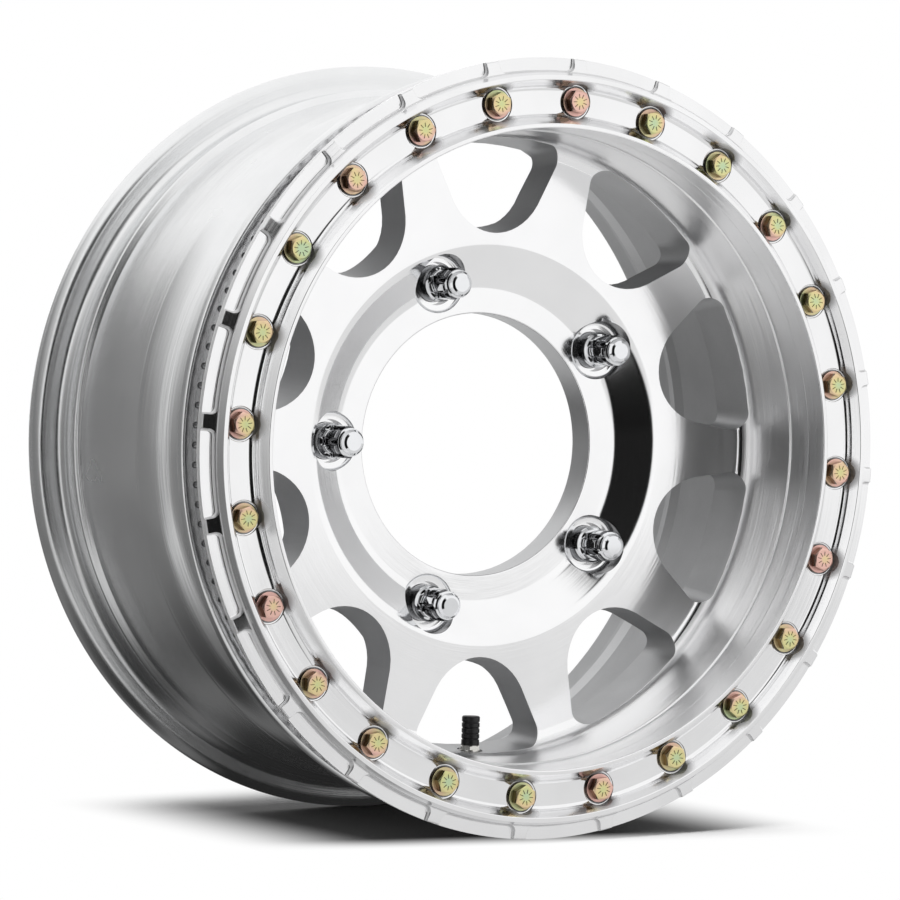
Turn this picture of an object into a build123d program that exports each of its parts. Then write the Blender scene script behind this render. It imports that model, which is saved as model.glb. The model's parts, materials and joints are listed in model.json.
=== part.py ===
from build123d import *
import os
from math import cos, radians, sin, tan

# One-piece beadlock wheel with its clamp ring, ring bolts, lug nuts and tyre valve.
# Millimetres. The axle runs along Y, the street side faces -Y and Z points up.
# The origin is the centre of the face that bolts to the hub, so y = 0 is that face.
# Angles are seen from the street side, anticlockwise from +X.

# Hub and spoke disc
bore_d = 161.0
lug_land = 22.0
lug_count = 5
lug_phase = 33.72
stud_hole_d = 15.0
pad_thickness = 20.5
pad_edge = 4.0
cone_rise = 12.5
cone_reach = 17.5
back_pad_reach = 27.0
disc_relief = 8.0
dish_cove = 7.0

# Pockets that take the lug nuts
nut_pocket_d = 36.3
nut_pocket_depth = 2.0
nut_bore_d = 26.5
nut_bore_depth = 4.5
seat_d = 23.0
seat_half_angle = 30.0
seat_clearance = 0.1

# Lug nuts, from the conical seat to the closed tip
nut_base_d = 22.4
nut_base_height = 11.4
nut_body_d = 19.6
nut_body_height = 18.0
nut_neck_d = 17.4
nut_neck_height = 4.0
nut_tip_d = 15.6
nut_tip_height = 3.5
nut_tip_bevel = 1.4
nut_thread_d = 14.4
nut_end_wall = 0.6
nut_tip_wall = 4.0
flute_count = 6
flute_d = 5.2
flute_depth = 1.7

# Windows between the spokes
spoke_count = 10
window_phase = 15.72
window_root = 9.6
window_root_share = 0.568
window_side_angle = 27.0
window_corner_share = 0.162
window_edge = 2.2
window_draft = 7.0

# Rim, as radii measured from the bead seat
bead_seat_r = 218.3
front_wall = 26.7
dish_step = 1.0
drop_depth = 18.3
barrel_drop = 2.5
barrel_wall = 7.0
rear_seat_wall = 6.3
stop_height = 11.8
flange_height = 17.3
flange_lip = 6.1
hump_height = 2.7

# Rim, as lengths along the axle
dish_depth = 65.7
mouth_depth = 19.7
front_bevel = 2.3
bead_width = 24.2
stop_width = 6.0
stop_bevel = 2.5
stop_back = 25.5
drop_width = 30.0
barrel_rise = 16.8
barrel_bevel = 7.0
flare_length = 25.0
backspace = 126.0
flange_width = 14.5
flange_bevel = 6.0
lip_bevel = 4.0
lip_edge = 4.0
flange_root = 4.5
rear_seat_width = 16.5
rear_cove = 4.5
hump_width = 6.7
hump_rise = 2.7

# Beadlock ring
bolt_count = 24
bolt_phase = 9.85
bolt_inset = 10.0
ring_over = 15.6
ring_web = 6.3
ring_lip = 4.2
ring_bevel = 2.6
ring_register = 0.7
channel_width = 17.5
channel_shift = 0.5
spotface_d = 21.0
spotface_depth = 0.8
inner_lip_height = 10.8
inner_lip_width = 4.2
land_height = 9.0
land_lean = 3.2
land_width = 3.4
rib_step = 4.8
rib_step_lean = 1.9
rib_slope = 2.2
rib_width = 8.4
scallop_reach = 6.9
scallop_corner = 4.5
ring_hole_d = 8.4

# Ring bolts and washers
bolt_d = 7.94
bolt_length = 31.75
head_flats = 12.7
head_height = 5.2
head_turn = 37.0
thread_clearance = 0.05
thread_run_out = 3.0
washer_d = 17.5
washer_hole_d = 8.7
washer_thickness = 1.6

# Tyre valve, set radially in one window with its cap towards the axle
valve_window = 7
valve_setback = 8.5
valve_hole_d = 11.5
valve_spotface_d = 15.6
valve_seat_inset = 0.1
valve_washer_d = 14.4
valve_washer_thickness = 1.6
valve_nut_flats = 11.0
valve_nut_height = 3.5
stem_d = 10.0
stem_clearance = 0.05
stem_proud = 0.5
stem_bore_d = 3.6
tip_d = 7.7
tip_length = 14.3
foot_d = 17.0
foot_height = 3.0
grommet_d = 18.4
grommet_height = 3.0
grommet_neck_d = 11.3
grommet_neck_length = 4.0
grommet_seat_inset = 0.4
grommet_margin = 1.0

# Valve core in the tip of the stem
core_d = 5.3
core_clearance = 0.05
core_recess = 1.6
core_length = 6.0
pin_d = 1.2
pin_clearance = 0.06
pin_head_d = 2.4
pin_head_height = 0.6
pin_proud = 1.3
pin_foot_d = 3.0
pin_foot_height = 0.6
spring_d = 3.0
spring_hole_d = 2.2
spring_clearance = 0.3
spring_pocket_depth = 3.6
core_seal_d = 3.2
core_seal_height = 1.0
seal_gap = 0.05

# Valve cap
cap_d = 11.0
cap_top = 1.2
cap_bevel = 1.2
cap_clearance = 0.08
cap_skirt_gap = 0.4
cap_seal_height = 0.8
cap_seal_hole_d = 3.0

# Planes across the axle
pad_y = -pad_thickness
face_y = pad_y - cone_rise
front_y = face_y - dish_depth
mouth_y = front_y + mouth_depth
disc_back_y = -disc_relief
stop_y = front_y + bead_width
drop_y = stop_y + stop_width + stop_back
barrel_y = drop_y + drop_width + barrel_rise
flange_y = backspace - flange_width
rear_seat_y = flange_y - rear_seat_width
hump_y = rear_seat_y - hump_width
channel_y = front_y - ring_web
washer_y = channel_y + spotface_depth
bolt_seat_y = washer_y - washer_thickness
nut_floor_y = pad_y + nut_pocket_depth + nut_bore_depth

# Radii from the axle
bore_r = bore_d / 2
lug_r = bore_r + lug_land
pad_r = lug_r - pad_edge
cone_r = lug_r + cone_reach
back_pad_r = lug_r + back_pad_reach
mouth_r = bead_seat_r - front_wall
dish_r = mouth_r - dish_step
drop_r = bead_seat_r - drop_depth
barrel_r = bead_seat_r - barrel_drop
barrel_in_r = barrel_r - barrel_wall
rear_in_r = bead_seat_r - rear_seat_wall
stop_r = bead_seat_r + stop_height
flange_r = bead_seat_r + flange_height
bolt_r = bead_seat_r - bolt_inset
ring_r = bead_seat_r + ring_over
window_inner_r = cone_r + window_root
window_outer_r = dish_r - window_edge
window_height = window_outer_r - window_inner_r
window_root_r = window_root_share * window_height
window_corner_r = window_corner_share * window_height

# Valve levels, as distances from the axle along the stem
valve_y = face_y + valve_setback
valve_angle = window_phase + valve_window * 360 / spoke_count
valve_seat = window_outer_r - valve_seat_inset
nut_base = valve_seat - valve_washer_thickness
nut_top = nut_base - valve_nut_height
stem_step = nut_top - stem_proud
stem_tip = stem_step - tip_length
grommet_seat = drop_r - grommet_seat_inset
foot_base = grommet_seat + grommet_height
core_top = stem_tip + core_recess
core_end = core_top + core_length
pocket_floor = core_top + spring_pocket_depth
pin_top = core_top - pin_proud
pin_shoulder = pin_top + pin_head_height
core_seal_top = core_end + seal_gap
core_seal_end = core_seal_top + core_seal_height
cap_seal_base = stem_tip - seal_gap
cap_seal_top = cap_seal_base - cap_seal_height
cap_inside = cap_seal_top - seal_gap


def bevelled(corners):
    """Points of a closed outline. Each corner is x, y and the length its bevel takes off each side."""
    points = []
    for k, (x, y, bevel) in enumerate(corners):
        corner = Vector(x, y)
        if bevel == 0:
            points.append(corner)
            continue
        before = Vector(*corners[k - 1][:2])
        after = Vector(*corners[(k + 1) % len(corners)][:2])
        points.append(corner + (before - corner).normalized() * bevel)
        points.append(corner + (after - corner).normalized() * bevel)
    return points


def turned(corners):
    """A section turned about the axle. Each corner is radius, y and bevel."""
    return revolve(make_face(Polyline(*bevelled(corners), close=True)), Axis.Y)


def across(y):
    """A plane across the axle with its own y along +Z, facing the rear."""
    return Plane(origin=(0, y, 0), x_dir=(-1, 0, 0), z_dir=(0, 1, 0))


def rod(diameter, y_start, y_end):
    """A round bar along the axle's direction."""
    return extrude(across(y_start) * Circle(diameter / 2), y_end - y_start)


def around(count, phase, radius, shape):
    """Copies of a shape on a circle round the axle."""
    turns = [90 - phase - k * 360 / count for k in range(count)]
    return [Rot(0, turn, 0) * Pos(0, 0, radius) * shape for turn in turns]


def at_valve(shape):
    """A shape built on +Z, carried round to the valve."""
    return Rot(0, 90 - valve_angle, 0) * Pos(0, valve_y, 0) * shape


def on_stem(corners):
    """A section turned about the valve. Each corner is radius, distance from the axle and bevel."""
    section = make_face(Plane.XZ * Polyline(*bevelled(corners), close=True))
    return at_valve(revolve(section, Axis.Z))


def sleeve(outer_d, inner_d, start, end):
    """A plain ring on the valve's axis."""
    return on_stem([
        (inner_d / 2, start, 0),
        (outer_d / 2, start, 0),
        (outer_d / 2, end, 0),
        (inner_d / 2, end, 0),
    ])


def make_window():
    """The cut between two spokes, straight through the cove and drafted through the disc."""
    side = radians(window_side_angle)
    apex = window_inner_r - window_root_r * (1 / sin(side) - 1)
    half_width = (window_outer_r - apex) * tan(side)
    ends = [(0, apex), (half_width, window_outer_r), (-half_width, window_outer_r)]
    outline = make_face(Polyline(*ends, close=True)) & Circle(window_outer_r)
    outline = fillet(outline.vertices().sort_by(Axis.Y)[:1], window_root_r)
    outline = fillet(outline.vertices().sort_by(Axis.Y)[-2:], window_corner_r)
    drafted = extrude(outline, -face_y, taper=window_draft)
    straight = extrude(outline, -dish_cove)
    return across(face_y) * (drafted + straight)


def make_nut_pocket():
    """Counterbore, nut bore, conical seat and stud hole of one lug."""
    shelf_y = pad_y + nut_pocket_depth
    seat_depth = (seat_d - stud_hole_d) / 2 / tan(radians(seat_half_angle))
    return turned([
        (0, face_y, 0),
        (nut_pocket_d / 2, face_y, 0),
        (nut_pocket_d / 2, shelf_y, 0),
        (nut_bore_d / 2, shelf_y, 0),
        (nut_bore_d / 2, nut_floor_y, 0),
        (seat_d / 2, nut_floor_y, 0),
        (stud_hole_d / 2, nut_floor_y + seat_depth, 0),
        (stud_hole_d / 2, disc_relief, 0),
        (0, disc_relief, 0),
    ])


def make_stem_hole():
    """Hole for the valve with a flat seat at each end."""
    grommet_seat_d = grommet_d + 2 * grommet_margin
    return on_stem([
        (0, stem_step, 0),
        (valve_spotface_d / 2, stem_step, 0),
        (valve_spotface_d / 2, valve_seat, 0),
        (valve_hole_d / 2, valve_seat, 0),
        (valve_hole_d / 2, grommet_seat, 0),
        (grommet_seat_d / 2, grommet_seat, 0),
        (grommet_seat_d / 2, foot_base, 0),
        (0, foot_base, 0),
    ])


def make_wheel():
    """Disc, dish and barrel turned as one piece, then cut through."""
    blank = turned([
        (mouth_r, front_y, 0),
        (bead_seat_r, front_y, front_bevel),
        (bead_seat_r, stop_y, stop_bevel),
        (stop_r, stop_y, stop_bevel),
        (stop_r, stop_y + stop_width, 0),
        (drop_r, drop_y, 0),
        (drop_r, drop_y + drop_width, 0),
        (barrel_r, barrel_y, barrel_bevel),
        (barrel_r, hump_y, 0),
        (bead_seat_r + hump_height, hump_y + hump_rise, 0),
        (bead_seat_r, rear_seat_y, 0),
        (bead_seat_r, flange_y, rear_cove),
        (flange_r, flange_y, flange_bevel),
        (flange_r, backspace, lip_bevel),
        (flange_r - flange_lip, backspace, 0),
        (flange_r - flange_lip, backspace - lip_edge, 0),
        (rear_in_r, flange_y - flange_root, 0),
        (rear_in_r, hump_y + hump_rise, 0),
        (barrel_in_r, hump_y - hump_rise, 0),
        (barrel_in_r, disc_back_y + flare_length, 0),
        (barrel_in_r - flare_length, disc_back_y, 0),
        (back_pad_r + disc_relief, disc_back_y, 0),
        (back_pad_r, 0, 0),
        (bore_r, 0, 0),
        (bore_r, pad_y, 0),
        (pad_r, pad_y, 0),
        (cone_r, face_y, 0),
        (dish_r, face_y, dish_cove),
        (dish_r, mouth_y, 0),
        (mouth_r, mouth_y - dish_step, 0),
    ])
    bolt_end_y = bolt_seat_y + bolt_length
    tapped_hole = rod(bolt_d + 2 * thread_clearance, front_y, bolt_end_y + thread_run_out)
    windows = around(spoke_count, window_phase, 0, make_window())
    lugs = around(lug_count, lug_phase, lug_r, make_nut_pocket())
    threads = around(bolt_count, bolt_phase, bolt_r, tapped_hole)
    return blank - windows - lugs - threads - make_stem_hole()


def make_scallops():
    """The shallow pockets between the ribs of the ring's outer edge."""
    inner_r = ring_r - scallop_reach
    band = Circle(ring_r + scallop_reach) - Circle(inner_r)
    rib = Pos(0, ring_r) * Rectangle(rib_width, 4 * scallop_reach)
    turns = [bolt_phase - 90 + k * 360 / bolt_count for k in range(bolt_count)]
    outline = band - [Rot(0, 0, -turn) * rib for turn in turns]
    corners = [v for v in outline.vertices() if v.center().length < ring_r]
    outline = fillet(corners, scallop_corner)
    return extrude(across(channel_y - inner_lip_height) * outline, inner_lip_height)


def make_ring():
    """Clamp ring with its bolt channel, turned, then scalloped and drilled."""
    channel_in = bolt_r - channel_width / 2 - channel_shift
    channel_out = bolt_r + channel_width / 2 - channel_shift
    land_in = channel_out + land_lean
    land_out = land_in + land_width
    land_y = channel_y - land_height
    rib_y = land_y + rib_step
    lip_y = channel_y - inner_lip_height
    blank = turned([
        (mouth_r, lip_y, 0),
        (mouth_r + inner_lip_width, lip_y, 0),
        (channel_in, channel_y, 0),
        (channel_out, channel_y, 0),
        (land_in, land_y, 0),
        (land_out, land_y, 0),
        (land_out + rib_step_lean, rib_y, 0),
        (ring_r, rib_y + rib_slope, 0),
        (ring_r, front_y + ring_lip, ring_bevel),
        (bead_seat_r + ring_register, front_y + ring_lip, 0),
        (bead_seat_r + ring_register, front_y, 0),
        (mouth_r, front_y, 0),
    ])
    drilling = rod(spotface_d, lip_y, washer_y) + rod(ring_hole_d, washer_y, front_y)
    return blank - make_scallops() - around(bolt_count, bolt_phase, bolt_r, drilling)


def make_bolts():
    """Hex bolts, each head left at its own turn."""
    corner_r = head_flats / 2 / cos(radians(30))
    shank = rod(bolt_d, bolt_seat_y, bolt_seat_y + bolt_length)
    bolts = []
    for k in range(bolt_count):
        hexagon = RegularPolygon(corner_r, 6, rotation=k * head_turn)
        head = extrude(across(bolt_seat_y - head_height) * hexagon, head_height)
        turn = 90 - bolt_phase - k * 360 / bolt_count
        bolts.append(Rot(0, turn, 0) * Pos(0, 0, bolt_r) * (head + shank))
    return bolts


def make_washers():
    """Flat washers in the ring's spot faces."""
    washer = rod(washer_d, bolt_seat_y, washer_y) - rod(washer_hole_d, bolt_seat_y, washer_y)
    return around(bolt_count, bolt_phase, bolt_r, washer)


def make_lug_nuts():
    """Closed nuts with a fluted body, standing on their conical seats."""
    slope = tan(radians(seat_half_angle))
    end_r = nut_thread_d / 2 + nut_end_wall
    cone_y = nut_floor_y - seat_clearance + (seat_d - nut_base_d) / 2 / slope
    end_y = cone_y + (nut_base_d / 2 - end_r) / slope
    base_y = cone_y - nut_base_height
    body_y = base_y - nut_body_height
    neck_y = body_y - nut_neck_height
    tip_y = neck_y - nut_tip_height
    nut = turned([
        (0, tip_y, 0),
        (nut_tip_d / 2, tip_y, nut_tip_bevel),
        (nut_tip_d / 2, neck_y, 0),
        (nut_neck_d / 2, neck_y, 0),
        (nut_neck_d / 2, body_y, 0),
        (nut_body_d / 2, body_y, 0),
        (nut_body_d / 2, base_y, 0),
        (nut_base_d / 2, base_y, 0),
        (nut_base_d / 2, cone_y, 0),
        (end_r, end_y, 0),
        (nut_thread_d / 2, end_y, 0),
        (nut_thread_d / 2, tip_y + nut_tip_wall, 0),
        (0, tip_y + nut_tip_wall, 0),
    ])
    flute_r = (nut_body_d + flute_d) / 2 - flute_depth
    flutes = around(flute_count, 0, flute_r, rod(flute_d, body_y, base_y))
    return around(lug_count, lug_phase, lug_r, nut - flutes)


def make_stem():
    """Clamp-in stem: a foot inside the tyre, a shank through the rim and a bored tip."""
    core_bore_d = core_d + 2 * core_clearance
    foot_end = foot_base + foot_height
    return on_stem([
        (core_bore_d / 2, stem_tip, 0),
        (tip_d / 2, stem_tip, 0),
        (tip_d / 2, stem_step, 0),
        (stem_d / 2, stem_step, 0),
        (stem_d / 2, foot_base, 0),
        (foot_d / 2, foot_base, 0),
        (foot_d / 2, foot_end, 0),
        (stem_bore_d / 2, foot_end, 0),
        (stem_bore_d / 2, core_end, 0),
        (core_bore_d / 2, core_end, 0),
    ])


def make_grommet():
    """Rubber seal under the foot, with a neck that lines the hole."""
    hole_r = stem_d / 2 + stem_clearance
    return on_stem([
        (hole_r, grommet_seat - grommet_neck_length, 0),
        (grommet_neck_d / 2, grommet_seat - grommet_neck_length, 0),
        (grommet_neck_d / 2, grommet_seat, 0),
        (grommet_d / 2, grommet_seat, 0),
        (grommet_d / 2, foot_base, 0),
        (hole_r, foot_base, 0),
    ])


def make_valve_nut():
    """Hex nut that draws the stem against the rim."""
    corner_r = valve_nut_flats / 2 / cos(radians(30))
    outline = RegularPolygon(corner_r, 6) - Circle(stem_d / 2 + stem_clearance)
    return at_valve(extrude(Plane.XY.offset(nut_top) * outline, valve_nut_height))


def make_core_body():
    """Plug in the stem's tip, with a pocket for the spring and a hole for the pin."""
    pocket_r = spring_d / 2 + spring_clearance
    hole_r = pin_d / 2 + pin_clearance
    return on_stem([
        (pocket_r, core_top, 0),
        (core_d / 2, core_top, 0),
        (core_d / 2, core_end, 0),
        (hole_r, core_end, 0),
        (hole_r, pocket_floor, 0),
        (pocket_r, pocket_floor, 0),
    ])


def make_core_pin():
    """Pin with a head that the spring lifts and a foot that carries the seal."""
    foot_end = core_seal_end + pin_foot_height
    return on_stem([
        (0, pin_top, 0),
        (pin_head_d / 2, pin_top, 0),
        (pin_head_d / 2, pin_shoulder, 0),
        (pin_d / 2, pin_shoulder, 0),
        (pin_d / 2, core_seal_end, 0),
        (pin_foot_d / 2, core_seal_end, 0),
        (pin_foot_d / 2, foot_end, 0),
        (0, foot_end, 0),
    ])


def make_cap():
    """Screw cap, closed towards the axle."""
    bore_radius = tip_d / 2 + cap_clearance
    top = cap_inside - cap_top
    skirt = stem_step - cap_skirt_gap
    return on_stem([
        (0, top, 0),
        (cap_d / 2, top, cap_bevel),
        (cap_d / 2, skirt, 0),
        (bore_radius, skirt, 0),
        (bore_radius, cap_inside, 0),
        (0, cap_inside, 0),
    ])


def write(node, shapes):
    """One STEP file for a node, from one solid or a list of them."""
    model = Compound(children=shapes) if isinstance(shapes, list) else shapes
    export_step(model, f"parts/{node}.step")


os.makedirs("parts", exist_ok=True)
write("wheel", make_wheel())
write("beadlock_ring", make_ring())
write("ring_bolts", make_bolts())
write("ring_washers", make_washers())
write("lug_nuts", make_lug_nuts())
write("valve_stem", make_stem())
write("valve_grommet", make_grommet())
write("valve_washer", sleeve(valve_washer_d, stem_d + 2 * stem_clearance, nut_base, valve_seat))
write("valve_nut", make_valve_nut())
write("core_body", make_core_body())
write("core_pin", make_core_pin())
write("core_spring", sleeve(spring_d, spring_hole_d, pin_shoulder + seal_gap, pocket_floor - seal_gap))
write("core_seal", sleeve(core_seal_d, pin_d + 2 * pin_clearance, core_seal_top, core_seal_end))
write("valve_cap", make_cap())
write("cap_seal", sleeve(tip_d, cap_seal_hole_d, cap_seal_top, cap_seal_base))
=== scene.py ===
import json
from math import atan2, ceil, cos, pi, radians, sin, sqrt, tan
import bmesh
import bpy
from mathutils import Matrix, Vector

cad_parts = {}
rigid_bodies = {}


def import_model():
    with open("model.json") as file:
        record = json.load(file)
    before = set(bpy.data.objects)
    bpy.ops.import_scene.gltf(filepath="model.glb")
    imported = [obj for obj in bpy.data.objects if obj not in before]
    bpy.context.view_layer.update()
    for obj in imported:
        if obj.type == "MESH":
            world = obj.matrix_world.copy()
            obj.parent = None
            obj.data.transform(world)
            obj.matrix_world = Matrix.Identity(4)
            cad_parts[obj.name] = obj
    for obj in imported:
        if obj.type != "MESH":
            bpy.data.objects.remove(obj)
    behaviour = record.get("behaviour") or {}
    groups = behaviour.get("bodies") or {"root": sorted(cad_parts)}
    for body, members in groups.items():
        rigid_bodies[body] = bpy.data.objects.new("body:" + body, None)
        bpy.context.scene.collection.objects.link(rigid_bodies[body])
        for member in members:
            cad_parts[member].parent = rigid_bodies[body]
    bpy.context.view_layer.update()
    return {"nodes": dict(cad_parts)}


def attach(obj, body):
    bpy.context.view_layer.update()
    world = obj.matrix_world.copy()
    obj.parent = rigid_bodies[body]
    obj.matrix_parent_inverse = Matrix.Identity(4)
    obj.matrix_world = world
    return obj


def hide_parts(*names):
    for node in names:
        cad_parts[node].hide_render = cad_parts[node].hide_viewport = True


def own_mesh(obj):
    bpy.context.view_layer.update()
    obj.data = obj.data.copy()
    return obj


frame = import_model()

mm = 0.001
for spare in [o for o in bpy.data.objects if o.name in ("Cube", "Light", "Camera")]:
    bpy.data.objects.remove(spare)
print("frame loaded,", len(frame["nodes"]), "nodes")


# Hand tools: what is picked, drawn, turned, cut and copied

hand = {
    "touch": 0.001 * mm, "merge": 0.002 * mm, "sharpAngle": 0.6, "smoothAngle": 32,
    "fewest": 2, "most": 16, "fineness": 1.7,  # steps in a rounded corner
}


def deselectAll():
    if bpy.context.object and bpy.context.object.mode == "EDIT":
        bpy.ops.object.mode_set(mode="OBJECT")
    bpy.ops.object.select_all(action="DESELECT")


def choose(*pieces):
    deselectAll()
    for piece in pieces:
        piece.select_set(True)
    bpy.context.view_layer.objects.active = pieces[0]


def openMesh(piece):
    choose(piece)
    bpy.ops.object.mode_set(mode="EDIT")
    bpy.ops.mesh.select_all(action="DESELECT")


def closeMesh():
    bpy.ops.mesh.select_all(action="SELECT")
    bpy.ops.mesh.remove_doubles(threshold=hand["merge"])
    bpy.ops.mesh.normals_make_consistent(inside=False)
    bpy.ops.object.mode_set(mode="OBJECT")


def pick(piece, kind, test):
    bpy.ops.mesh.select_mode(type=kind)
    bpy.ops.mesh.select_all(action="DESELECT")
    mesh = bmesh.from_edit_mesh(piece.data)
    items = {"VERT": mesh.verts, "EDGE": mesh.edges, "FACE": mesh.faces}[kind]
    for item in items:
        if test(item):
            item.select_set(True)
    mesh.select_flush_mode()
    bmesh.update_edit_mesh(piece.data)


def middle(edge):
    return (edge.verts[0].co + edge.verts[1].co) / 2 / mm


def outFromAxle(point):
    return sqrt(point.x ** 2 + point.z ** 2)


def within(value, limits):
    return limits[0] < value < limits[1]


def isSharp(edge):
    return len(edge.link_faces) == 2 and edge.calc_face_angle() > hand["sharpAngle"]


def roundCorner(piece, before, point, after, radius):
    half = (before - point).angle(after - point) / 2
    turn = pi - 2 * half
    steps = ceil(turn * sqrt(radius) * hand["fineness"])
    pick(piece, "VERT", lambda v: (v.co - point).length < hand["touch"])
    # this profile keeps the bevel close to an arc
    bpy.ops.mesh.bevel(affect="VERTICES", offset_type="ABSOLUTE", offset=radius * mm / tan(half),
                       segments=max(hand["fewest"], min(hand["most"], steps)),
                       profile=(1 - 0.5 / (1 + sin(half))) ** 2)


def drawOutline(name, corners, place, closed=True):
    # each corner is two lengths in millimetres and the radius that rounds it
    deselectAll()
    bpy.ops.mesh.primitive_plane_add(size=mm)
    piece = bpy.context.object
    piece.name = piece.data.name = name
    bpy.ops.object.mode_set(mode="EDIT")
    bpy.ops.mesh.select_mode(type="VERT")
    bpy.ops.mesh.select_all(action="SELECT")
    bpy.ops.mesh.merge(type="CENTER")
    points = [place(corner[0], corner[1]) for corner in corners]
    bpy.ops.transform.translate(value=points[0])
    for here, there in zip(points, points[1:]):
        bpy.ops.mesh.extrude_vertices_move(TRANSFORM_OT_translate={"value": there - here})
    if closed:
        ends = (points[0], points[-1])
        pick(piece, "VERT", lambda v: any((v.co - end).length < hand["touch"] for end in ends))
        bpy.ops.mesh.edge_face_add()
    for k, corner in enumerate(corners):
        if corner[2]:
            roundCorner(piece, points[k - 1], points[k], points[(k + 1) % len(points)], corner[2])
    bpy.ops.mesh.select_all(action="SELECT")
    return piece


def turnOutline(name, corners, steps, closed=False):
    piece = drawOutline(name, corners, lambda r, y: Vector((r, y, 0)) * mm, closed)
    bpy.ops.mesh.spin(steps=steps, angle=2 * pi, center=(0, 0, 0), axis=(0, 1, 0))
    closeMesh()
    return piece


def pushOutline(name, corners, yStart, yEnd):
    # stays in edit mode with the far face picked
    piece = drawOutline(name, corners, lambda x, z: Vector((x, yStart, z)) * mm)
    bpy.ops.mesh.edge_face_add()
    pushOn(yEnd - yStart)
    return piece


def pushOn(length):
    bpy.ops.mesh.extrude_region_move(TRANSFORM_OT_translate={"value": (0, length * mm, 0)})


def copyTo(piece, radius, angles, turns):
    # the piece stands on the axle, and each copy goes out to the radius with its own turn
    copies = []
    for angle, turn in zip(angles, turns):
        choose(piece)
        bpy.ops.object.duplicate()
        copy = bpy.context.object
        copy.rotation_euler[1] = -radians(turn)
        copy.location = Vector((cos(radians(angle)), 0, sin(radians(angle)))) * radius * mm
        bpy.ops.object.transform_apply(location=True, rotation=True, scale=True)
        copies.append(copy)
    name = piece.name
    bpy.data.objects.remove(piece)
    choose(*copies)
    bpy.ops.object.join()
    joined = bpy.context.object
    joined.name = joined.data.name = name
    return joined


def evenly(count, phase):
    return [phase + k * 360 / count for k in range(count)]


def combine(piece, tool, operation="DIFFERENCE"):
    choose(piece)
    change = piece.modifiers.new("combine", "BOOLEAN")
    change.operation = operation
    change.object = tool
    change.solver = "MANIFOLD"
    bpy.ops.object.modifier_apply(modifier=change.name)
    bpy.data.objects.remove(tool)


def softenEdges(piece, width, reach, depth):
    # sharp edges whose middle lies within these distances from the axle and along it
    openMesh(piece)
    pick(piece, "EDGE", lambda e: isSharp(e) and within(outFromAxle(middle(e)), reach)
         and within(middle(e).y, depth))
    bpy.ops.mesh.bevel(offset=width * mm, offset_type="OFFSET", segments=2, profile=0.5,
                       clamp_overlap=True, affect="EDGES")
    closeMesh()


def smoothOff(piece):
    choose(piece)
    bpy.ops.object.shade_smooth_by_angle(angle=radians(hand["smoothAngle"]))
    change = piece.modifiers.new("normals", "WEIGHTED_NORMAL")
    change.keep_sharp = True
    bpy.ops.object.modifier_apply(modifier=change.name)


def stand(piece, body, slot, *nodes):
    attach(piece, body)
    if nodes:
        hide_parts(*nodes)
    print("made", piece.name, "with", len(piece.data.polygons), "faces")


# Wheel: one turned section, then the windows, lug pockets and bead dimples; the valve cuts its own hole

wheel = {
    "steps": 240,
    "section": [
        (191.6, -98.7, 0.4), (218.3, -98.7, 2.3), (218.3, -74.5, 5.0), (230.1, -74.5, 2.4),
        (230.1, -68.5, 0.8), (200.0, -43.0, 20.0), (200.0, -13.0, 22.0), (215.8, 3.8, 25.0),
        (215.8, 14.4, 0.1), (216.05, 14.9, 0.1), (216.05, 88.3, 0), (221.0, 91.0, 1.4),
        (218.3, 95.0, 1.4), (218.3, 111.5, 6.0), (235.6, 111.5, 6.0), (235.6, 126.0, 4.0),
        (229.5, 126.0, 1.0), (229.5, 122.0, 1.0),
        (212.0, 107.0, 4.0), (212.0, 91.0, 3.0), (210.4, 80.0, 0.4), (207.2, 78.6, 0.4), (208.8, 70.0, 1.0),
        (208.8, 17.0, 18.0),
        (183.8, -8.0, 6.0), (137.5, -8.0, 2.0), (129.5, 0, 2.0), (80.5, 0, 0.8),
        (80.5, -20.5, 0.8), (98.5, -20.5, 11.0), (120.0, -33.0, 12.0), (190.6, -33.0, 11.0),
        (190.6, -79.0, 0.5), (191.6, -80.0, 0.5),
    ],
    "windowCount": 10, "windowPhase": 15.72, "windowRoot": 129.6, "windowRootRound": 33.4,
    "windowSide": 27.0, "windowTop": 188.4, "windowCorner": 9.5, "windowArcs": 7,
    "windowFront": -46.0, "windowFace": -33.0, "windowBack": 4.0, "windowShrink": (0.8456, 1, 0.897),
    "windowReach": (123, 189.9), "windowEdge": 0.9, "windowDepth": (-48, -30), "backEdge": 0.5,
    "backDepth": (-14, 130),
    "lugRadius": 102.5, "lugs": evenly(5, 33.72), "lugSteps": 64, "lugEdge": 0.5, "lugReach": (84, 121.5),
    "lugDepth": (-34, -13),
    "lugPocket": [
        (0, -60.0, 0), (18.15, -60.0, 0), (18.15, -18.5, 2.6), (13.25, -18.5, 0), (13.25, -14.0, 0),
        (11.5, -14.0, 0), (7.5, -7.07, 0), (7.5, 12.0, 0), (0, 12.0, 0),
    ],
    "dimpleRadius": 221.4, "dimples": evenly(120, 1.5), "dimpleY": -75.2, "dimpleSize": 2.1,
    "dimpleSides": 10, "dimpleRings": 6,
}


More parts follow.
